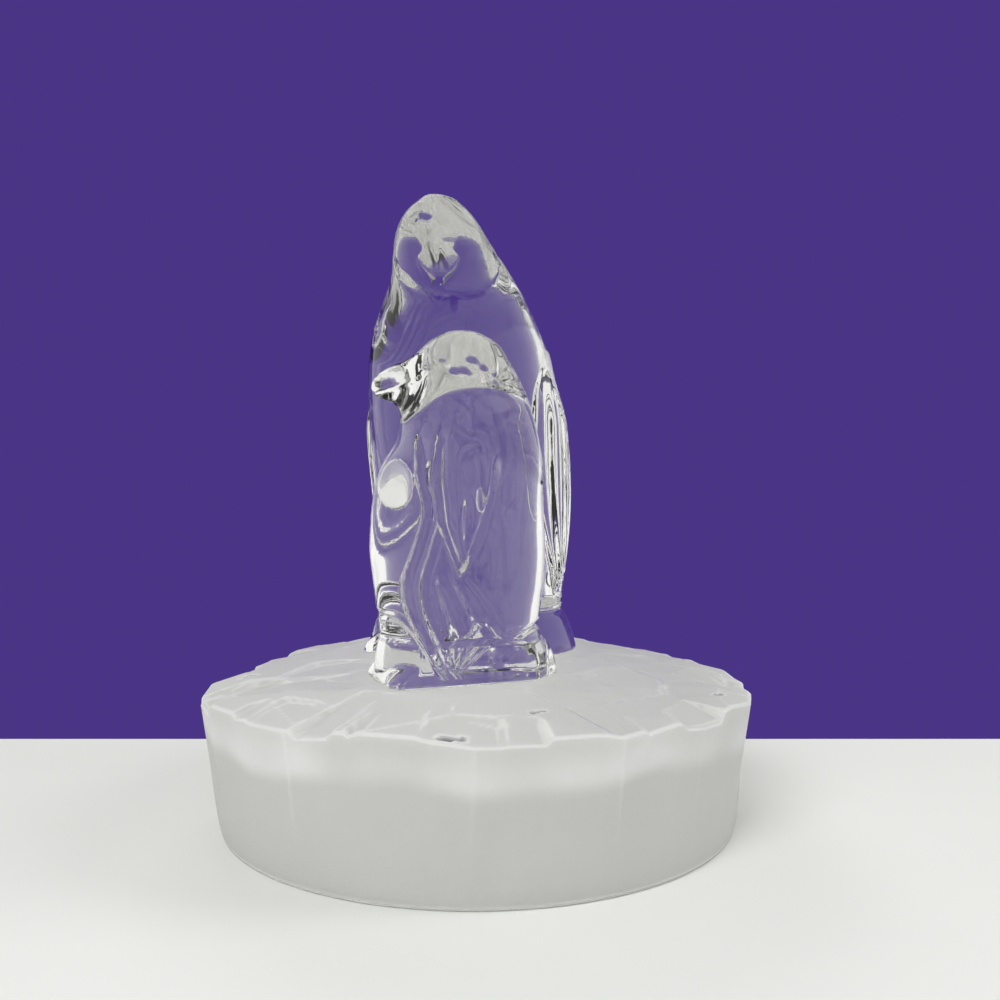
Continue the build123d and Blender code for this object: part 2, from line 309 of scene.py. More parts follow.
rings = np.array(rings)
ring_count = len(rings)
floe_points = np.concatenate([rings.reshape(-1, 3), [[0, 0, HOLLOW_CEILING], [0, 0, LAND_HEIGHT]]])
here = np.arange(COLUMNS)
beside = (here + 1) % COLUMNS
last = (ring_count - 1) * COLUMNS
middle = ring_count * COLUMNS
floe_faces = ring_faces(ring_count, COLUMNS)
floe_faces += np.stack([beside, here, middle + 0 * here], axis=-1).tolist()
floe_faces += np.stack([last + here, last + beside, middle + 1 + 0 * here], axis=-1).tolist()


def add_piece(name, points, faces):
    """A piece of the ornament from points in millimetres, smooth all over."""
    mesh = bpy.data.meshes.new(name)
    mesh.from_pydata((np.asarray(points) * MM).tolist(), [], faces)
    mesh.shade_smooth()
    piece = bpy.data.objects.new(name, mesh)
    bpy.context.scene.collection.objects.link(piece)
    return piece


floe = add_piece("frosted_floe", floe_points, floe_faces)
floe.data.set_sharp_from_angle(angle=radians(SHARP_ANGLE))


def add_attribute(piece, name, values):
    """A value on each of a piece's points for its material to read."""
    flat_values = np.asarray(values, dtype=np.float32).ravel()
    piece.data.attributes.new(name, "FLOAT", "POINT").data.foreach_set("value", flat_values)


# How sharp the ice is at each point, for the edges where the frosting has worn and which carry a painted
# highlight
WEAR_AND_HIGHLIGHT_START = 0.003
WEAR_AND_HIGHLIGHT_FULL = 0.03
WALL_WEAR_AND_HIGHLIGHT = 0.5           # how much the wall's edges wear and carry the painted highlight, next to the crown's
WALL_WEAR_AND_HIGHLIGHT_LOW = 3.0
WALL_WEAR_AND_HIGHLIGHT_HIGH = 20.0

across = np.roll(rings, -1, axis=1) - rings
along = np.roll(rings, -1, axis=0) - rings
facing = np.cross(across, along)
facing /= np.maximum(np.linalg.norm(facing, axis=-1, keepdims=True), 1e-9)
bend = np.zeros(facing.shape[:2])
for shift in ((1, 0), (0, 1), (1, 1)):
    bend = np.maximum(bend, 1 - (facing * np.roll(facing, shift, axis=(0, 1))).sum(axis=-1))

at_middle = [0, 0]
x, y, z = np.moveaxis(rings, -1, 0)
on_crown = (np.arange(ring_count) >= crown_start)[:, None] + 0 * turn
wear_and_highlight_share = np.maximum(on_crown, WALL_WEAR_AND_HIGHLIGHT * fade(z, WALL_WEAR_AND_HIGHLIGHT_LOW, WALL_WEAR_AND_HIGHLIGHT_HIGH))
# The edge mask lowers the roughness where the frosting has worn and also paints a highlight along the
# edges
edge_wear_and_highlight = fade(bend, WEAR_AND_HIGHLIGHT_START, WEAR_AND_HIGHLIGHT_FULL) * wear_and_highlight_share
add_attribute(floe, "edge_wear_and_highlight", np.append(edge_wear_and_highlight, at_middle))
add_attribute(floe, "crown", np.append(on_crown, at_middle))
# Where the nicks are, for their gloss and their painted shade
add_attribute(floe, "chip_gloss_and_shade", np.append(on_crown * chip_share(x, y), at_middle))

# Painted light: light that the solid roof gathers would show in the wall as a soft band with brighter
# patches, and this band is painted into the wall's colour
GLOW_LOW = 18.6
GLOW_HIGH = 24.5
GLOW_WANDER = 0.8
GLOW_START = 2.2          # how far below the band's line it starts, and how far above the line it is full
GLOW_FULL = 1.2
GLOW_FALL = 1.5           # how far above the line it begins to fall off, and by how much it does
GLOW_LOSS = 0.6
GLOW_LEAST = 0.2
GLOW_PATCH = 0.9
# Brighter patches: how many go round, where they begin and how strong they are
PATCHES = ((5, 1.0, 0.25), (11, 0.4, 0.15), (23, 0.0, 0.10))

patch = 0.5 + sum(strength * np.sin(count * turn + begin) for count, begin, strength in PATCHES)
band_line = GLOW_LOW + GLOW_WANDER * (np.sin(7 * turn + 2.0) + 0.5 * np.sin(17 * turn))
# The painted glow band, strongest just above its wandering line
painted_glow = fade(z, band_line - GLOW_START, band_line + GLOW_FULL)
painted_glow *= 1 - GLOW_LOSS * fade(z, band_line + GLOW_FALL, GLOW_HIGH)
painted_glow *= GLOW_LEAST + GLOW_PATCH * patch
add_attribute(floe, "painted_glow", np.append(painted_glow * (1 - on_crown), at_middle))


class Shade:
    """A value in a material's nodes. Sums, differences and products of values make their own nodes."""

    def __init__(self, tree, socket=None):
        self.tree = tree
        self.socket = socket

    def node(self, kind, settings, sockets, output=0):
        """Any node: its kind, its settings, then what its sockets take. Gives one of its outputs."""
        made = self.tree.nodes.new(kind)
        for name, value in settings.items():
            setattr(made, name, value)
        for name, value in sockets.items():
            if isinstance(value, Shade):
                self.tree.links.new(value.socket, made.inputs[name])
            else:
                made.inputs[name].default_value = value
        return Shade(self.tree, made.outputs[output])

    def math(self, operation, first, second):
        return self.node("ShaderNodeMath", {"operation": operation}, {0: first, 1: second})

    def __add__(self, other):
        return self.math("ADD", self, other)

    def __radd__(self, other):
        return self.math("ADD", other, self)

    def __sub__(self, other):
        return self.math("SUBTRACT", self, other)

    def __rsub__(self, other):
        return self.math("SUBTRACT", other, self)

    def __mul__(self, other):
        return self.math("MULTIPLY", self, other)

    def __rmul__(self, other):
        return self.math("MULTIPLY", other, self)

    def most(self, other):
        return self.math("MAXIMUM", self, other)

    def fade(self, start, end):
        """0 at the start, 1 at the end and smooth between them."""
        limits = {"Value": self, "From Min": start, "From Max": end}
        return self.node("ShaderNodeMapRange", {"interpolation_type": "SMOOTHSTEP"}, limits)

    def mix(self, low, high):
        """A colour between two, by this value."""
        sockets = {"Factor": self, "A": low, "B": high}
        return self.node("ShaderNodeMix", {"data_type": "RGBA"}, sockets, "Result")

    def place(self):
        """Where a point is on its object, in metres."""
        return self.node("ShaderNodeTexCoord", {}, {}, "Object")

    def height(self):
        """How high a point is on its object, in metres."""
        return self.node("ShaderNodeSeparateXYZ", {}, {"Vector": self.place()}, "Z")

    def noise(self, size, detail, rough):
        """Cloudy noise of this size in metres, over the object."""
        sockets = {"Vector": self.place(), "Scale": 1 / size, "Detail": detail, "Roughness": rough}
        return self.node("ShaderNodeTexNoise", {"noise_dimensions": "3D"}, sockets)

    def attribute(self, name):
        """A value that the mesh carries on its points."""
        return self.node("ShaderNodeAttribute", {"attribute_name": name}, {}, "Fac")

    def light_path(self, kind):
        """1 for rays of one kind and 0 for the others."""
        return self.node("ShaderNodeLightPath", {}, {}, kind)

    def bump(self, depth, strength=1.0):
        """A normal from this height, times a depth in metres."""
        sockets = {"Height": self, "Distance": depth, "Strength": strength}
        return self.node("ShaderNodeBump", {}, sockets, "Normal")

    def blend(self, first, second):
        """A finish between two, by this value."""
        return self.node("ShaderNodeMixShader", {}, {0: self, 1: first, 2: second})


def new_material(name):
    """An empty material, its start value and the socket that its finish goes to."""
    material = bpy.data.materials.new(name)
    material.use_nodes = True
    material.node_tree.nodes.clear()
    end = material.node_tree.nodes.new("ShaderNodeOutputMaterial")
    return material, Shade(material.node_tree), end.inputs["Surface"]


# Frosted glass: pale and soft, with painted light in the wall's glow band, painted highlights on its worn
# edges and on the glossier ground foot, and painted shade in its glossy nicks
FROST_CROWN_COLOUR = (0.71, 0.71, 0.69, 1.0)
FROST_WALL_COLOUR = (0.72, 0.72, 0.70, 1.0)
# The colour of the painted light: the glow band and the highlights on worn edges and on the ground foot
FROST_PAINTED_LIGHT_COLOUR = (0.99, 0.99, 0.97, 1.0)
# Painted shade in the nicks
CHIP_PAINTED_SHADE_COLOUR = (0.30, 0.30, 0.33, 1.0)
GRAIN_SIZE = 0.0004
CLOUD_SIZE = 0.014
FROST_DEPTH = 0.00008
GROUND_LOW = 0.0003       # the ground foot ends between these heights
GROUND_HIGH = 0.0012
LIGHT_SPREAD = 0.002      # how far light spreads under the skin

frost, start, surface = new_material("acid_frosted_glass")
grain = start.noise(GRAIN_SIZE, detail=3.0, rough=0.7)
cloud = start.noise(CLOUD_SIZE, detail=3.0, rough=0.55)
# Worn edges: glossier, and a painted highlight in their colour
wear_and_highlight = start.attribute("edge_wear_and_highlight")
# Nicks: glossy, with painted shade in their colour
chip_gloss_and_shade = start.attribute("chip_gloss_and_shade")
# The ground foot is glossier, and a highlight is painted on it
ground_foot_and_highlight = 1.0 - start.height().fade(GROUND_LOW, GROUND_HIGH)
tone = start.attribute("crown").mix(FROST_WALL_COLOUR, FROST_CROWN_COLOUR)
# Painted light from the glow band and painted highlights on worn edges and the ground foot, with a random
# mottle from the cloud
painted_light_and_mottle = (start.attribute("painted_glow") + 0.45 * wear_and_highlight + 0.25 * (cloud - 0.5)).most(ground_foot_and_highlight)
tone = painted_light_and_mottle.mix(tone, FROST_PAINTED_LIGHT_COLOUR)
# Painted shade in the nicks
tone = chip_gloss_and_shade.mix(tone, CHIP_PAINTED_SHADE_COLOUR)
satin = 0.50 + 0.10 * cloud - 0.20 * wear_and_highlight - 0.36 * ground_foot_and_highlight - 0.4 * chip_gloss_and_shade
frost_skin = start.node("ShaderNodeBsdfPrincipled", {"subsurface_method": "RANDOM_WALK"}, {
    "Base Color": tone,
    "Roughness": satin,
    "IOR": 1.5,
    "Transmission Weight": 0.35,
    "Subsurface Weight": 1.0,
    "Subsurface Radius": (1.0, 1.0, 1.0),
    "Subsurface Scale": LIGHT_SPREAD,
    "Normal": (grain + 0.5 * cloud).bump(FROST_DEPTH),
})
frost.node_tree.links.new(frost_skin.socket, surface)
floe.data.materials.append(frost)
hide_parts("ice_floe")
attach(floe, "root")


# Adult penguin
# A solid casting in clear glass, fire-polished. It stands on a flared foot, bows its head so that
# the beak lies on its breast, and has its flippers pressed against its flanks.
Station = namedtuple("Station", "rise width depth lean")
Head = namedtuple("Head", "rise lean width length height bow turn")
Flipper = namedtuple("Flipper", "shoulder tip chord lean sweep proud")
Foot = namedtuple("Foot", "length width height spread lean toe_out toe")
Tail = namedtuple("Tail", "reach length width height")
Bird = namedtuple("Bird", "body head flipper foot tail hem nape")

BOND_THICKNESS = 0.2
ADULT_PLACE = (-3.2, 15.5, LAND_HEIGHT + BOND_THICKNESS)
ADULT_HEADING = 28.0
ADULT = Bird(
    body=np.array([
        Station(rise=0.0, width=45.0, depth=38.0, lean=-2.6),
        Station(rise=4.0, width=42.5, depth=36.0, lean=-2.6),
        Station(rise=8.5, width=39.0, depth=33.4, lean=-2.8),
        Station(rise=17.0, width=39.8, depth=34.5, lean=-3.0),
        Station(rise=26.0, width=40.4, depth=36.0, lean=-2.8),
        Station(rise=34.0, width=40.6, depth=37.0, lean=-2.0),
        Station(rise=43.0, width=40.5, depth=37.0, lean=-0.4),
        Station(rise=51.0, width=40.0, depth=36.4, lean=1.0),
        Station(rise=57.5, width=38.4, depth=35.4, lean=2.1),
        Station(rise=64.0, width=35.4, depth=33.2, lean=3.0),
        Station(rise=70.0, width=30.5, depth=29.2, lean=3.6),
        Station(rise=76.0, width=24.0, depth=23.7, lean=4.85),
        Station(rise=80.5, width=18.5, depth=18.9, lean=6.05),
        Station(rise=84.5, width=13.0, depth=13.5, lean=7.25),
        Station(rise=88.5, width=6.0, depth=6.4, lean=7.8),
    ]),
    head=Head(rise=80.4, lean=11.5, width=16.0, length=20.5, height=17.6, bow=50.0, turn=34.0),
    flipper=Flipper(shoulder=57.0, tip=11.0, chord=14.5, lean=-0.6, sweep=-3.0, proud=1.5),
    foot=Foot(length=16.0, width=13.0, height=4.2, spread=15.0, lean=9.5, toe_out=8.0, toe=2.1),
    tail=Tail(reach=2.6, length=12.0, width=15.0, height=9.0),
    hem=8.0,
    nape=5.0,
)


def curve_at(rise, stations, column=1):
    """One of a body's sizes at any height, on a smooth curve through its stations."""
    rises = stations[:, 0]
    sizes = stations[:, column]
    slopes = np.gradient(sizes, rises)
    low = np.clip(np.searchsorted(rises, rise) - 1, 0, len(rises) - 2)
    span = rises[low + 1] - rises[low]
    t = np.clip((rise - rises[low]) / span, 0, 1)
    away = sizes[low] * (1 + 2 * t) * (1 - t) ** 2 + slopes[low] * span * t * (1 - t) ** 2
    towards = sizes[low + 1] * t * t * (3 - 2 * t) + slopes[low + 1] * span * t * t * (t - 1)
    return away + towards


def oval(x, y, half_width, half_depth):
    """Distance from an oval's line, below zero inside."""
    share = np.hypot(x / half_width, y / half_depth)
    steep = np.hypot(x / half_width ** 2, y / half_depth ** 2)
    return share * (share - 1) / np.maximum(steep, 1e-6)


def egg(x, y, z, width, length, height):
    """Distance from an egg's skin, below zero inside."""
    halves = (width / 2, length / 2, height / 2)
    share = np.sqrt(sum((value / half) ** 2 for value, half in zip((x, y, z), halves)))
    steep = np.sqrt(sum((value / half ** 2) ** 2 for value, half in zip((x, y, z), halves)))
    return share * (share - 1) / np.maximum(steep, 1e-6)


def join(first, second, soft):
    """Both of two shapes, with a fillet between them."""
    share = np.clip(0.5 + 0.5 * (second - first) / soft, 0, 1)
    return second + (first - second) * share - soft * share * (1 - share)


def overlap(first, second, soft):
    """What two shapes share, with its edge rounded."""
    return -join(-first, -second, soft)


CREASE_CURVE = 1.3


def groove(away, width, depth):
    """A rounded groove, by how far a point lies from its line."""
    return depth * np.exp(-(away / width) ** 2)


def crease(away, width, depth):
    """A groove with a sharp bottom and walls that curve out of the skin a little."""
    return depth * np.maximum(1 - np.abs(away) / width, 0) ** CREASE_CURVE


def in_head(x, y, z, head):
    """Coordinates in a head's own frame, with its middle as the origin and its face towards -Y."""
    across, ahead = turned(x, y + head.lean, head.turn)
    ahead, up = turned(ahead, z - head.rise, head.bow)
    return across, ahead, up


TRUNK_ROUND = 1.0


def trunk_distance(x, y, z, bird):
    """Distance from a bird's body, and from its body and head together.

    The bird stands at the origin and faces -Y."""
    top = bird.body[-1, 0]
    level = np.clip(z, 0, top)
    lean = curve_at(level, bird.body, 3)
    body = oval(x, y + lean, curve_at(level, bird.body, 1) / 2, curve_at(level, bird.body, 2) / 2)
    body = overlap(body, z - top, TRUNK_ROUND)
    head = egg(*in_head(x, y, z, bird.head), bird.head.width, bird.head.length, bird.head.height)
    return body, join(body, head, bird.nape)


LEAF_SCALE = 2.6          # makes a flipper as wide as its chord at its widest place
LEAF_SLOPE = 0.9          # a flipper's edge slants, so it is nearer than it looks straight across
LEAF_THIN = 0.4           # how much less a flipper stands out along its edges
LEAF_SHOULDER = 0.28      # the share of its length over which it rises from the shoulder
LEAF_ROUND = 0.4
FLUTES = 3
FLUTE_DEPTH = 0.3
FLUTE_START = 4.0
FLUTE_FULL = 12.0


def leaf_outline(y, z, flipper):
    """Distance on the flank from a flipper's edge, and how far across it a point lies, from -1 to 1.

    The flipper is round at the shoulder and pointed at its tip."""
    t = (z - flipper.tip) / (flipper.shoulder - flipper.tip)
    inside = np.clip(t, 0, 1)
    chord = flipper.chord * LEAF_SCALE * inside * np.sqrt(np.maximum(1 - inside, 0))
    aside = y + flipper.lean + flipper.sweep * (0.5 - t)
    past_ends = np.maximum(flipper.tip - z, z - flipper.shoulder)
    edge = np.maximum(LEAF_SLOPE * (np.abs(aside) - chord / 2), past_ends)
    return edge, np.clip(2 * aside / np.maximum(chord, 1.0), -1, 1)


def flipper_distance(y, z, flipper, body):
    """A leaf raised on each flank, with flutes along it."""
    edge, across = leaf_outline(y, z, flipper)
    below = flipper.shoulder - z
    rise = fade(below, 0.0, LEAF_SHOULDER * (flipper.shoulder - flipper.tip))
    proud = flipper.proud * (1 - LEAF_THIN * across ** 2) * rise
    proud -= FLUTE_DEPTH * np.cos(FLUTES * pi * across) * fade(below, FLUTE_START, FLUTE_FULL)
    return overlap(body - proud, edge, LEAF_ROUND)


TOE_SPLAY = 17
TOE_SET = 0.55            # how far forward a toe lies, as a share of the foot's length
TOE_SLIM = 0.34
TOE_FILLET = 0.6


def foot_distance(x, y, z, foot):
    """Two webbed feet, each of three toes spread from the heel."""
    across, along = turned(np.abs(x) - foot.spread / 2, y + foot.lean, foot.toe_out)
    feet = egg(across, along, z, foot.width, foot.length, 2 * foot.height)
    for splay in (-TOE_SPLAY, 0, TOE_SPLAY):
        toe_across, toe_along = turned(across, along - foot.length / 2, splay)
        toe_along = toe_along + foot.length * TOE_SET
        toe = egg(toe_across, toe_along, z, foot.width * TOE_SLIM, foot.length, foot.toe * foot.height)
        feet = join(feet, toe, TOE_FILLET)
    return feet


LEAF_FILLET = 0.2
FOOT_FILLET = 0.6
TAIL_FILLET = 1.2
SOLE_ROUND = 0.5
BODY_HEM_WIDTH = 0.8
BODY_HEM_DEPTH = 0.5


def add_limbs(x, y, z, bird, body, skin):
    """A bird's skin with its flippers, feet and tail."""
    skin = join(skin, flipper_distance(y, z, bird.flipper, body), LEAF_FILLET)
    if bird.hem:
        skin += groove(z - bird.hem, BODY_HEM_WIDTH, BODY_HEM_DEPTH)
    skin = join(skin, foot_distance(x, y, z, bird.foot), FOOT_FILLET)
    tail = bird.tail
    back = bird.body[0, 2] / 2 - bird.body[0, 3] + tail.reach - tail.length / 2
    tail_skin = egg(x, y - back, z, tail.width, tail.length, 2 * tail.height)
    return overlap(join(skin, tail_skin, TAIL_FILLET), -z, SOLE_ROUND)


def cast(distance, low, high, step):
    """A closed mesh of the space where a distance is below zero. Its points are drawn onto the skin."""
    border = 3 * step
    sides = [np.arange(a - border, b + border, step) for a, b in zip(low, high)]
    field = distance(*np.meshgrid(*sides, indexing="ij")).astype(np.float32)
    grid = openvdb.FloatGrid(border)
    grid.copyFromArray(field)
    points, faces = grid.convertToQuads(0.0)
    points = points.astype(float) * step + np.array([side[0] for side in sides])
    reach = step / 10
    for _ in range(4):
        slope = np.stack([
            distance(*(points + move).T) - distance(*(points - move).T) for move in reach * np.eye(3)
        ], axis=-1) / (2 * reach)
        push = distance(*points.T) / np.maximum((slope ** 2).sum(axis=-1), 0.25)
        points -= slope * np.clip(push, -step / 3, step / 3)[:, None]
    return points, faces


def stand(points, place, heading):
    """Points of a bird, turned to its heading and moved to its place on the floe."""
    x, y = turned(points[:, 0], points[:, 1], heading)
    return np.stack([x, y, points[:, 2]], axis=-1) + np.array(place)


# The head is pared to two slants that meet at the crown. Each lies so far out on the side that it
# faces, looks up by an angle, is rounded across, and is cut no lower than a height.
Slant = namedtuple("Slant", "reach rise facing_up radius soft low")
NAPE = Slant(reach=3.0, rise=80.0, facing_up=47.0, radius=11.0, soft=2.5, low=60.0)
FOREHEAD = Slant(reach=18.4, rise=79.6, facing_up=36.0, radius=16.0, soft=1.0, low=70.0)


def slant_distance(ahead, rise, slant):
    """Distance from a slant, above zero on the side that it faces."""
    c = cos(radians(slant.facing_up))
    s = sin(radians(slant.facing_up))
    return (ahead - slant.reach) * c + (rise - slant.rise) * s


def pared(skin, ahead, across, rise, slant):
    """A head's skin with one slant taken off it."""
    cut = slant_distance(ahead, rise, slant) + across * across / (2 * slant.radius)
    return np.where(rise > slant.low, overlap(skin, cut, slant.soft), skin)


# The beak is a wedge that goes on from the forehead: half its width from the brow to its tip
WEDGE = np.array([(0.0, 4.2), (0.18, 3.6), (0.33, 3.0), (0.5, 3.9), (0.7, 3.2), (0.88, 1.9), (1.0, 0.8)])
WEDGE_BROW = 80.4
WEDGE_TIP = 70.4
WEDGE_RISE = 1.0          # how far above the brow its root reaches into the forehead
WEDGE_FACING_UP = 40.0
WEDGE_RIDGE = 0.15
WEDGE_BACK = 6.0
WEDGE_ROUND = 0.4
WEDGE_FILLET = 0.4


def wedge_distance(forward, across, z):
    """The adult's beak, with a low ridge down its middle."""
    share = (WEDGE_BROW - z) / (WEDGE_BROW - WEDGE_TIP)
    half = curve_at(np.clip(share, 0, 1), WEDGE)
    face = FOREHEAD._replace(facing_up=WEDGE_FACING_UP)
    wedge = slant_distance(forward, z, face) + WEDGE_RIDGE * np.abs(across)
    wedge = overlap(wedge, np.abs(across) - half, WEDGE_ROUND)
    wedge = overlap(wedge, np.maximum(WEDGE_TIP - z, z - WEDGE_BROW - WEDGE_RISE), WEDGE_ROUND)
    return np.maximum(wedge, WEDGE_BACK - forward)


HOOD_DROP = 1.5           # how far below the middle of the head the crease round the face runs
HOOD_WIDTH = 0.9
HOOD_DEPTH = 1.4
HOOD_END = 7.0            # how far behind the middle of the head the crease ends, and where it is full
HOOD_FULL = 2.0
# Small pits left by the mould on the forehead: how far across and how high each is
FOREHEAD_PITS = ((-4.2, 83.5), (-3.1, 84.4), (-1.9, 83.9))
PIT_SIZE = 0.75
PIT_DEPTH = 0.8


def adult_distance(x, y, z):
    """The adult, with its pared head, the crease of its hood and its beak."""
    body, skin = trunk_distance(x, y, z, ADULT)
    across, ahead, up = in_head(x, y, z, ADULT.head)
    forward = -turned(x, y, ADULT.head.turn)[1]
    skin += crease(up + HOOD_DROP, HOOD_WIDTH, HOOD_DEPTH) * fade(ahead, HOOD_END, HOOD_FULL)
    skin = pared(skin, y, x, z, NAPE)
    skin = pared(skin, forward, across, z, FOREHEAD)
    for pit_across, pit_rise in FOREHEAD_PITS:
        away = np.hypot(across - pit_across, z - pit_rise)
        skin += groove(away, PIT_SIZE, PIT_DEPTH) * (forward > WEDGE_BACK)
    skin = join(skin, wedge_distance(forward, across, z), WEDGE_FILLET)
    return add_limbs(x, y, z, ADULT, body, skin)


ADULT_LOW = (-24, -28, 0)
ADULT_HIGH = (24, 24, 91)
ADULT_STEP = 0.42         # millimetres between the points of the mesh
adult_points, adult_faces = cast(adult_distance, ADULT_LOW, ADULT_HIGH, ADULT_STEP)
adult_points = stand(adult_points, ADULT_PLACE, ADULT_HEADING)
adult = add_piece("adult_in_clear_glass", adult_points, adult_faces.tolist())


def lit_through(start, skin, colour):
    """A clear finish that lamps shine through, so that its shadow is pale."""
    tint = start.node("ShaderNodeBsdfTransparent", {}, {"Color": colour})
    return start.light_path("Is Shadow Ray").blend(skin, tint)


# Clear glass, with faint streaks in it, a slow ripple on its skin and a little haze where it is handled
GLASS_COLOUR = (1.0, 1.0, 0.99, 1.0)
GLASS_STRIA_COLOUR = (0.985, 0.985, 0.97, 1.0)
GLASS_LIGHT = (0.98, 0.985, 0.98, 1.0)
RIPPLE_SIZE = 0.009
RIPPLE_DEPTH = 0.00012
STRIA_SIZE = 0.0035
TOUCH_SIZE = 0.006
TOUCH_HAZE = 0.035

glass, start, surface = new_material("fire_polished_glass")
ripple = start.noise(RIPPLE_SIZE, detail=1.0, rough=0.4)
stria = start.noise(STRIA_SIZE, detail=2.0, rough=0.5)
touch = start.noise(TOUCH_SIZE, detail=4.0, rough=0.6)
glass_skin = start.node("ShaderNodeBsdfPrincipled", {}, {
    "Base Color": stria.fade(0.4, 0.7).mix(GLASS_COLOUR, GLASS_STRIA_COLOUR),
    "Roughness": TOUCH_HAZE * touch.fade(0.5, 0.8),
    "IOR": 1.5,
    "Transmission Weight": 1.0,
    "Normal": (ripple + 0.25 * stria).bump(RIPPLE_DEPTH, 0.6),
})
glass_finish = lit_through(start, glass_skin, GLASS_LIGHT)
glass.node_tree.links.new(glass_finish.socket, surface)
adult.data.materials.append(glass)
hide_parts("adult_penguin")
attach(adult, "root")


# Chick
# A smaller solid casting in the same clear glass, which stands in front of the adult and looks
# across it. Its flank has folds from the neck to the foot, and its lower edge parts over the legs.
Beak = namedtuple("Beak", "reach length width height lift droop")

CHICK_BACK = 13.06        # from the middle of the chick to the back of the film that it stands on
CHICK_PLACE = (-3.0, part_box("chick_bond")[1][1] / MM - CHICK_BACK, LAND_HEIGHT + BOND_THICKNESS)
CHICK_HEADING = 68.0
CHICK = Bird(
    body=np.array([
        Station(rise=0.0, width=25.0, depth=30.4, lean=-0.4),
        Station(rise=4.5, width=24.4, depth=29.8, lean=-0.4),
        Station(rise=7.5, width=23.4, depth=28.1, lean=-0.1),
        Station(rise=11.0, width=24.4, depth=28.4, lean=0.0),
        Station(rise=16.0, width=25.4, depth=29.7, lean=0.0),
        Station(rise=22.0, width=26.2, depth=30.6, lean=0.2),
        Station(rise=27.0, width=26.0, depth=30.2, lean=0.2),
        Station(rise=32.0, width=27.2, depth=29.3, lean=0.0),
        Station(rise=36.5, width=27.8, depth=27.5, lean=-0.7),
        Station(rise=40.5, width=27.8, depth=24.0, lean=-1.5),
        Station(rise=44.0, width=26.9, depth=22.2, lean=-1.5),
        Station(rise=47.5, width=21.8, depth=21.2, lean=-1.3),
        Station(rise=51.0, width=16.8, depth=19.2, lean=-1.0),
        Station(rise=54.5, width=11.8, depth=16.0, lean=-0.8),
        Station(rise=57.5, width=7.0, depth=11.6, lean=-0.9),
        Station(rise=59.4, width=2.4, depth=5.0, lean=-0.9),
    ]),
    head=Head(rise=48.5, lean=2.0, width=12.0, length=17.0, height=15.0, bow=8.0, turn=0.0),
    flipper=Flipper(shoulder=43.0, tip=18.0, chord=10.0, lean=3.3, sweep=1.8, proud=1.3),
    foot=Foot(length=13.0, width=10.5, height=4.6, spread=10.5, lean=8.0, toe_out=6.0, toe=0.8),
    tail=Tail(reach=2.2, length=10.0, width=11.0, height=7.0),
    hem=None,
    nape=3.0,
)

CHICK_BEAK = Beak(reach=4.8, length=12.0, width=6.4, height=6.2, lift=1.9, droop=8.0)
BEAK_FILLET = 2.5
MOUTH_DROP = 0.08         # how far below the beak's middle it would open, as a share of its height
MOUTH_WIDTH = 0.35
MOUTH_DEPTH = 0.3


def beak_distance(x, y, z, beak, head):
    """An egg that droops from the face, with a groove where it would open."""
    across, ahead, up = in_head(x, y, z, head)
    ahead, up = turned(ahead + head.length / 2 + beak.reach, up - beak.lift, beak.droop)
    bill = egg(across, ahead - beak.length / 2, up, beak.width, beak.length, beak.height)
    return bill + groove(up + MOUTH_DROP * beak.height, MOUTH_WIDTH, MOUTH_DEPTH)


PLINTH_HALF = 9.0
PLINTH_FRONT = 14.6
PLINTH_TOP = 6.0
PLINTH_SHOULDER = 3.0     # the height over which the plinth's flats run out into the body
PLINTH_STEP = 5.0
PLINTH_ROUND = 0.5


def plinth_distance(x, y, z):
    """The flat sides and front of the block that the chick stands on."""
    sides = np.maximum(np.abs(x) - PLINTH_HALF, -y - PLINTH_FRONT)
    return sides - PLINTH_STEP * fade(z, PLINTH_TOP, PLINTH_TOP + PLINTH_SHOULDER)


# The fold on each flank: how far behind the middle it lies, from the foot to the neck
FOLD = np.array([
    (0.0, -5.0), (7.0, -8.7), (12.0, -10.8), (17.0, -11.5),
    (22.0, -10.4), (28.0, -9.0), (34.0, -9.7), (43.0, -8.4),
])
FOLD_WIDTH = 1.0
FOLD_DEPTH = 2.0
FOLD_GAP = 2.2            # a second, finer fold runs behind it
SECOND_FOLD_WIDTH = 0.9
SECOND_FOLD_DEPTH = 1.7
LEAF_RIM = 0.5            # how far inside the flipper's edge the crease round it runs
LEAF_CREASE_WIDTH = 0.9
LEAF_CREASE_DEPTH = 1.9
FAR_RELIEF = 0.35         # how deep the carving is on the flank that faces the adult
# Where the carving fades in, and where it is in full: up from the foot, out from the middle line, and
# down from the neck
FAR_LOW = (5.0, 8.0)
FOLD_LOW = (0.6, 2.5)
FOLD_SIDE = (2.5, 6.0)
FOLD_HIGH = (44.0, 37.0)
LEAF_CREASE_HIGH = (38.0, 35.0)


def flank_relief(x, z):
    """How much of the carving there is: all on the near flank, and less, above the foot, on the other."""
    return np.where(x > 0, 1.0, FAR_RELIEF * fade(z, *FAR_LOW))


def fold_depth(x, y, z):
    """The two folds of each flank, and the crease round the flipper on the near one."""
    fold = curve_at(z, FOLD)
    depth = crease(y - fold, FOLD_WIDTH, FOLD_DEPTH)
    depth += crease(y - fold - FOLD_GAP, SECOND_FOLD_WIDTH, SECOND_FOLD_DEPTH)
    edge = leaf_outline(y, z, CHICK.flipper)[0]
    leaf = crease(edge + LEAF_RIM, LEAF_CREASE_WIDTH, LEAF_CREASE_DEPTH)
    depth += leaf * fade(z, *LEAF_CREASE_HIGH) * (x > 0)
    shown = fade(np.abs(x), *FOLD_SIDE) * fade(z, *FOLD_LOW) * fade(z, *FOLD_HIGH)
    return depth * flank_relief(x, z) * shown


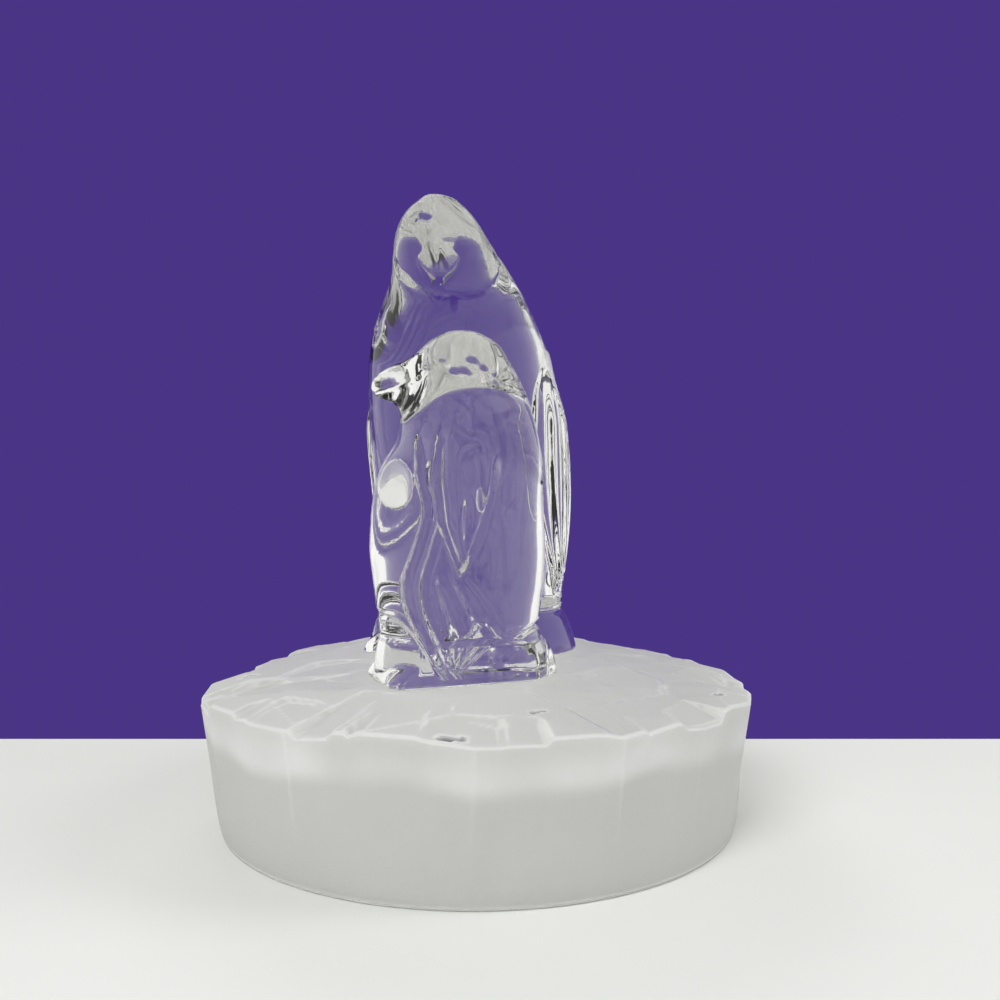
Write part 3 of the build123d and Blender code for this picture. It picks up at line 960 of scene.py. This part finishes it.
# A row of small pits round the face
SPOTS = 7
SPOT_START = -7.0
SPOT_PITCH = 1.7
SPOT_RISE = 51.5
SPOT_WANDER = 1.3         # how far the row goes up and down
SPOT_WAVE = 1.9
SPOT_SIZE = 0.8
SPOT_DEPTH = 0.45


def spot_depth(x, y, z):
    """The pits, on the near side of the face."""
    depth = np.zeros(np.shape(x))
    for k in range(SPOTS):
        spot_y = SPOT_START + SPOT_PITCH * k
        spot_z = SPOT_RISE + SPOT_WANDER * np.sin(SPOT_WAVE * k)
        depth += groove(np.hypot(y - spot_y, z - spot_z), SPOT_SIZE, SPOT_DEPTH)
    return depth * (x > 0)


# The lower edge of the flank: how high it is, from the breast round to the tail
HEM = np.array([
    (-16.0, 10.5), (-12.5, 11.0), (-9.5, 7.5), (-6.0, 2.6), (-3.0, 8.0),
    (0.0, 10.5), (4.3, 7.4), (9.0, 8.6), (16.0, 9.0),
])
HEM_WIDTH = 1.0
HEM_DEPTH = 0.9
HEM_CLEAR = (2.0, 4.0)    # how far from the foot of the fold it fades in
HEM_LOW = (0.8, 3.0)
# The back of the leg: how far behind the middle it lies, from the foot up
LEG_BACK = np.array([(0.0, -4.5), (2.5, -2.5), (7.5, 3.6), (13.0, 1.5), (19.0, -4.0)])
LEG_TOP = (19.0, 16.0)    # where the flank parts over the leg, below the flipper's tip
LEG_LOW = (0.8, 3.2)
LEG_SIDE = (4.0, 7.0)
LEG_LEAST = 0.8           # the leg is never narrower than this
LEG_SUNK = 0.9
LEG_RIBS = 3
LEG_RIB_DEPTH = 0.45
LEG_EDGE = 0.12           # the share of the leg's width over which it sinks in


def leg_depth(x, y, z):
    """The hem of each flank, and the ribbed leg between the second fold and the leg's back."""
    fold = curve_at(z, FOLD)
    relief = flank_relief(x, z)
    hem = crease(z - curve_at(y, HEM), HEM_WIDTH, HEM_DEPTH)
    hem *= fade(np.abs(y - fold) + z, *HEM_CLEAR) * fade(z, *HEM_LOW)
    front = fold + FOLD_GAP
    back = curve_at(z, LEG_BACK)
    share = (y - front) / np.maximum(back - front, LEG_LEAST)
    leg = fade(share, 0.0, LEG_EDGE) * fade(share, 1.0, 1.0 - LEG_EDGE)
    leg *= fade(np.abs(x), *LEG_SIDE) * fade(z, *LEG_TOP) * fade(z, *LEG_LOW)
    ribs = LEG_SUNK + LEG_RIB_DEPTH * np.cos(2 * LEG_RIBS * pi * share)
    return relief * (hem + leg * ribs)


# A long bubble in the flank, and a flat smear of air behind the breast, which is turned so that it
# mirrors the pale room
BUBBLE_PLACE = (10.0, -0.5, 30.2)
BUBBLE_SIZE = (0.9, 1.5, 4.2)
SMEAR_PLACE = (1.5, -10.3, 32.4)
SMEAR_SIZE = (9.0, 1.0, 8.0)
SMEAR_TURN = 12.4


def bubble_distance(x, y, z):
    """Both bubbles, below zero inside."""
    bubble = egg(x - BUBBLE_PLACE[0], y - BUBBLE_PLACE[1], z - BUBBLE_PLACE[2], *BUBBLE_SIZE)
    smear_x, smear_y = turned(x - SMEAR_PLACE[0], y - SMEAR_PLACE[1], SMEAR_TURN)
    smear = egg(smear_x, smear_y, z - SMEAR_PLACE[2], *SMEAR_SIZE)
    return np.minimum(bubble, smear)


def chick_distance(x, y, z):
    """The chick, with its carving and its bubbles."""
    body, skin = trunk_distance(x, y, z, CHICK)
    skin = join(skin, beak_distance(x, y, z, CHICK_BEAK, CHICK.head), BEAK_FILLET)
    skin = add_limbs(x, y, z, CHICK, body, skin)
    skin = overlap(skin, plinth_distance(x, y, z), PLINTH_ROUND)
    skin += fold_depth(x, y, z) + spot_depth(x, y, z) + leg_depth(x, y, z)
    return np.maximum(skin, -np.minimum(bubble_distance(x, y, z), z))


CHICK_LOW = (-16, -20, 0)
CHICK_HIGH = (16, 20, 60)
CHICK_STEP = 0.3
chick_points, chick_faces = cast(chick_distance, CHICK_LOW, CHICK_HIGH, CHICK_STEP)
chick_points = stand(chick_points, CHICK_PLACE, CHICK_HEADING)
chick = add_piece("chick_in_clear_glass", chick_points, chick_faces.tolist())
chick.data.materials.append(glass)
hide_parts("chick_penguin")
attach(chick, "root")


# Bonds
# A film of clear adhesive under each bird, cured hard. It ends a little inside the foot, and its
# edge wanders, as adhesive does where it is pressed out.
FILM_LOW = LAND_HEIGHT + 0.02
FILM_HIGH = LAND_HEIGHT + 0.18
FILM_COLUMNS = 240
FILM_CUT = 0.6            # how high above its sole a bird's outline is taken
FILM_SEARCH = 30          # how far out the outline is looked for, in steps of a tenth of a millimetre
FILM_SHY = 0.35
FILM_WANDER = 0.3
# The film's section, from the middle below to the middle above: share of its reach and of its height
FILM_SECTION = ((0.02, 0), (0.6, 0), (0.985, 0), (1.0, 0.3), (1.0, 0.7), (0.985, 1), (0.6, 1), (0.02, 1))
FILM_COLOUR = (0.98, 0.98, 0.97, 1.0)
FILM_SMEAR_COLOUR = (0.94, 0.94, 0.92, 1.0)
FILM_LIGHT = (0.975, 0.975, 0.97, 1.0)
FILM_SMEAR_SIZE = 0.004
FILM_SMEAR_DEPTH = 0.00008

film, start, surface = new_material("cured_clear_adhesive")
film_smear = start.noise(FILM_SMEAR_SIZE, detail=3.0, rough=0.6)
film_skin = start.node("ShaderNodeBsdfPrincipled", {}, {
    "Base Color": film_smear.mix(FILM_COLOUR, FILM_SMEAR_COLOUR),
    "Roughness": 0.12 + 0.3 * film_smear,
    "IOR": 1.47,
    "Transmission Weight": 0.9,
    "Normal": film_smear.bump(FILM_SMEAR_DEPTH),
})
film_finish = lit_through(start, film_skin, FILM_LIGHT)
film.node_tree.links.new(film_finish.socket, surface)


def add_film(name, distance, place, heading, node):
    """A film with the outline of a bird's foot, drawn from the middle outwards."""
    bearing = np.linspace(0, 2 * pi, FILM_COLUMNS, endpoint=False)
    out = np.linspace(0, FILM_SEARCH, 10 * FILM_SEARCH + 1)
    x = out[:, None] * np.cos(bearing)
    y = out[:, None] * np.sin(bearing)
    inside = distance(x, y, np.full(x.shape, FILM_CUT)) < 0
    reach = out[np.argmin(inside, axis=0)] - FILM_SHY
    reach += FILM_WANDER * np.sin(7 * bearing + 1) * np.sin(3 * bearing)
    loops = []
    for share, up in FILM_SECTION:
        height = FILM_LOW + (FILM_HIGH - FILM_LOW) * up - place[2]
        loops.append(loop_of(reach * share, bearing, height))
    here = np.arange(FILM_COLUMNS)
    faces = ring_faces(len(loops), FILM_COLUMNS)
    faces.append(here[::-1].tolist())
    faces.append((here + (len(loops) - 1) * FILM_COLUMNS).tolist())
    piece = add_piece(name, stand(np.concatenate(loops), place, heading), faces)
    piece.data.materials.append(film)
    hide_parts(node)
    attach(piece, "root")


add_film("adult_bond_film", adult_distance, ADULT_PLACE, ADULT_HEADING, "adult_bond")
add_film("chick_bond_film", chick_distance, CHICK_PLACE, CHICK_HEADING, "chick_bond")


# Studio
# A pale floor in a pale room, with a plain card close behind the ornament, because clear glass
# takes its looks from what stands behind it. The card shows from the front only.
STUDIO_COLOUR = (0.94, 0.94, 0.92, 1.0)
FLOOR_COLOUR = (0.77, 0.775, 0.75, 1.0)
FLOOR_FIBRE_COLOUR = (0.80, 0.805, 0.78, 1.0)
FLOOR_FIBRE_SIZE = 0.05
FLOOR_REACH = 3.0
FLOOR_FADE_START = 0.12   # where the floor begins to turn into the pale room, and where it is the room
FLOOR_FADE_END = 0.55


def add_sheet(name, corners):
    """A flat sheet of the studio."""
    mesh = bpy.data.meshes.new(name)
    mesh.from_pydata(corners, [], [(0, 1, 2, 3)])
    sheet = bpy.data.objects.new(name, mesh)
    bpy.context.scene.collection.objects.link(sheet)
    return sheet


floor = add_sheet("floor", [(-FLOOR_REACH, -FLOOR_REACH, 0), (FLOOR_REACH, -FLOOR_REACH, 0),
                            (FLOOR_REACH, FLOOR_REACH, 0), (-FLOOR_REACH, FLOOR_REACH, 0)])
paper, start, surface = new_material("floor_paper")
fibre = start.noise(FLOOR_FIBRE_SIZE, detail=2.0, rough=0.5)
floor_tone = fibre.mix(FLOOR_COLOUR, FLOOR_FIBRE_COLOUR)
from_middle = start.node("ShaderNodeVectorMath", {"operation": "LENGTH"}, {0: start.place()}, "Value")
near_floor = start.node("ShaderNodeBsdfDiffuse", {}, {"Color": floor_tone})
far_floor = start.node("ShaderNodeEmission", {}, {"Color": STUDIO_COLOUR, "Strength": 1.0})
floor_finish = from_middle.fade(FLOOR_FADE_START, FLOOR_FADE_END).blend(near_floor, far_floor)
paper.node_tree.links.new(floor_finish.socket, surface)
floor.data.materials.append(paper)

# The glass shows a smaller card than the camera sees, with the pale room round it
CARD_COLOUR = (0.068, 0.035, 0.235, 1.0)
CARD_PLACE = 0.0535
CARD_REACH = 0.17
CARD_HEIGHT = 0.21
GLASS_CARD_REACH = 0.062
GLASS_CARD_HEIGHT = 0.17

board, start, surface = new_material("backdrop_card")
front = start.node("ShaderNodeEmission", {}, {"Color": CARD_COLOUR, "Strength": 1.0})
clear = start.node("ShaderNodeBsdfTransparent", {}, {})
from_behind = start.node("ShaderNodeNewGeometry", {}, {}, "Backfacing")
board.node_tree.links.new(from_behind.blend(front, clear).socket, surface)


def add_card(name, reach, height):
    """An upright card that lights nothing and throws no shadow."""
    card = add_sheet(name, [(-reach, CARD_PLACE, 0), (reach, CARD_PLACE, 0),
                            (reach, CARD_PLACE, height), (-reach, CARD_PLACE, height)])
    card.visible_shadow = False
    card.visible_diffuse = False
    card.data.materials.append(board)
    return card


backdrop = add_card("backdrop", CARD_REACH, CARD_HEIGHT)
backdrop.visible_transmission = False
backdrop.visible_glossy = False
glass_backdrop = add_card("backdrop_in_the_glass", GLASS_CARD_REACH, GLASS_CARD_HEIGHT)
glass_backdrop.visible_camera = False

# The room is pale where it is seen, straight or in the glass, and lights the ornament less than that
FILL_LIGHT = 0.45

world = bpy.data.worlds.new("studio")
bpy.context.scene.world = world
world.use_nodes = True
world.node_tree.nodes.clear()
start = Shade(world.node_tree)
seen = start.light_path("Is Camera Ray")
for kind in ("Is Glossy Ray", "Is Transmission Ray"):
    seen = seen.most(start.light_path(kind))
fill = start.node("ShaderNodeBackground", {}, {"Color": (1.0, 1.0, 1.0, 1.0), "Strength": FILL_LIGHT})
room = start.node("ShaderNodeBackground", {}, {"Color": STUDIO_COLOUR, "Strength": 1.0})
world_end = world.node_tree.nodes.new("ShaderNodeOutputWorld")
world.node_tree.links.new(seen.blend(fill, room).socket, world_end.inputs["Surface"])


def add_lamp(name, place, aim, width, height, power):
    """A soft lamp that faces a point."""
    lamp = bpy.data.lights.new(name, "AREA")
    lamp.shape = "RECTANGLE"
    lamp.size = width
    lamp.size_y = height
    lamp.energy = power
    holder = bpy.data.objects.new(name, lamp)
    holder.location = place
    direction = np.array(aim) - np.array(place)
    flat_reach = float(np.hypot(direction[0], direction[1]))
    pitch = float(np.arctan2(flat_reach, -direction[2]))
    heading = float(np.arctan2(-direction[0], direction[1]))
    holder.rotation_euler = (pitch, 0, heading)
    bpy.context.scene.collection.objects.link(holder)
    return holder


LOW_AIM = (0, 0, 0.04)
HIGH_AIM = (0, 0, 0.06)
key_lamp = add_lamp("key_lamp", (-0.20, -0.46, 0.36), LOW_AIM, width=0.30, height=0.30, power=2.2)
side_lamp = add_lamp("side_lamp", (0.42, -0.06, 0.26), HIGH_AIM, width=0.18, height=0.40, power=0.8)
add_lamp("back_lamp", (-0.12, 0.40, 0.36), HIGH_AIM, width=0.30, height=0.20, power=0.5)
# These two would show in the glass as hard white windows
for lamp in (key_lamp, side_lamp):
    lamp.visible_glossy = False
    lamp.visible_transmission = False

CAMERA_PLACE = (0.004, -0.186, 0.059)
CAMERA_LENS = 34.92

camera_data = bpy.data.cameras.new("camera")
camera_data.sensor_width = 36.0
camera_data.lens = CAMERA_LENS
camera_data.clip_start = 0.01
camera = bpy.data.objects.new("camera", camera_data)
camera.location = CAMERA_PLACE
camera.rotation_euler = (radians(90), 0, 0)
bpy.context.scene.collection.objects.link(camera)
bpy.context.scene.camera = camera
bpy.context.scene.view_settings.view_transform = "Standard"
